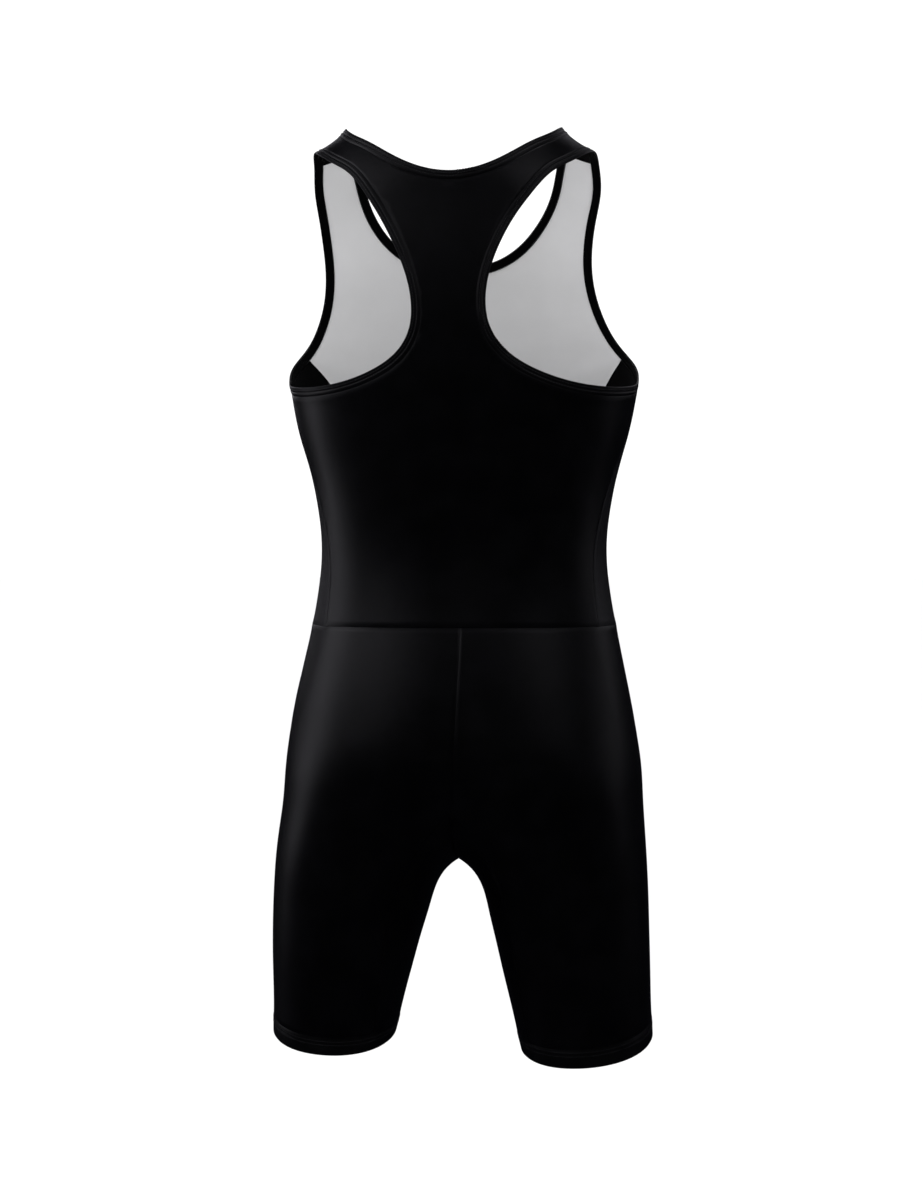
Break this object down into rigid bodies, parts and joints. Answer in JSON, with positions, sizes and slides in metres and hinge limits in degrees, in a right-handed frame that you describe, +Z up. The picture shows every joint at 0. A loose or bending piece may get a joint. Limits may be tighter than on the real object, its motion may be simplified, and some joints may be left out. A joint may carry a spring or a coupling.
{
  "type": "running suit",
  "caption": "Sleeveless one-piece running suit with a racer back and thigh-length legs, hollow, in the form it has when worn.",
  "frame": {"origin": "in the centre plane of the trunk, level with the top of the shoulder straps where they meet the neck edge", "axes": "+Z up along the body, -Y towards the chest, +X towards the wearer's left side"},
  "size_m": [0.4021, 0.244, 0.9638],
  "materials": {
    "black_knit": "satin",
    "turned_edge": "satin",
    "pale_reverse": "matte",
    "thread": "matte"
  },
  "bodies": {
    "root": {"back_panel": "black_knit", "front_panel": "black_knit", "side_panel_left": "black_knit", "side_panel_right": "black_knit", "shorts_leg_left": "black_knit", "shorts_leg_right": "black_knit", "inner_leg_left": "black_knit", "inner_leg_right": "black_knit", "neck_edge": "turned_edge", "armhole_edge_left": "turned_edge", "armhole_edge_right": "turned_edge", "leg_hem_left": "turned_edge", "leg_hem_right": "turned_edge"}
  },
  "joints": []
}
